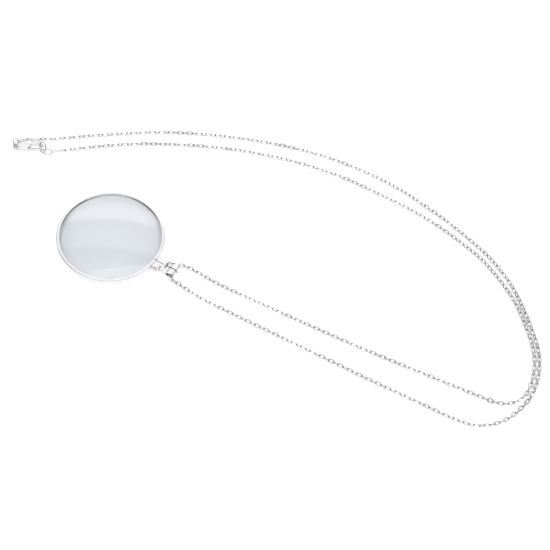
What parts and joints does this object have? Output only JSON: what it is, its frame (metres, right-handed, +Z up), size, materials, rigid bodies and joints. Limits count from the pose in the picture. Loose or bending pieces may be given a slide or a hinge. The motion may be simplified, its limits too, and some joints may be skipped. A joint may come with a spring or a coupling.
{
  "type": "magnifier pendant necklace",
  "caption": "Round magnifying lens in a thin screw-closed metal rim, hinged to a folded bail on a long cable chain with a lobster clasp, laid down with its clasp closed.",
  "frame": {"origin": "centre of the laid-down object's outline on the surface that it rests on", "axes": "+X along the laid-out chain, from the magnifier towards the chain's bend, +Z up"},
  "size_m": [0.2317, 0.1274, 0.0049],
  "materials": {
    "silver_plate": "polished silver plate",
    "silver_chain": "polished silver plate on a fine cable chain",
    "steel": "turned bright steel",
    "lens_glass": "clear polished optical glass"
  },
  "bodies": {
    "root": {"bail": "silver_plate", "bail_pin": "steel", "chain_outer": "silver_chain", "chain_inner": "silver_chain", "end_cap_a": "silver_plate", "end_cap_b": "silver_plate", "tail_link": "silver_plate", "tail_ring": "silver_plate", "catch_ring": "silver_plate", "small_ring": "silver_plate", "clasp_body": "silver_plate", "clasp_rivet": "steel"},
    "magnifier": {"rim": "silver_plate", "lens": "lens_glass", "closing_screw": "steel"},
    "lever": {"clasp_lever": "silver_plate"}
  },
  "joints": [
    {"name": "bail_hinge", "type": "hinge", "parent": "root", "child": "magnifier", "pos_m": [-0.0409, -0.0095, 0.0017], "axis": [0.4067, 0.9135, 0], "range_deg": [-90, 90]},
    {"name": "clasp_gate", "type": "hinge", "parent": "root", "child": "lever", "pos_m": [-0.11038, 0.04336, 0.00135], "axis": [0, 0, -1], "range_deg": [0, 18], "stiffness_Nm_per_rad": 0.002, "springref_deg": -11.46}
  ]
}
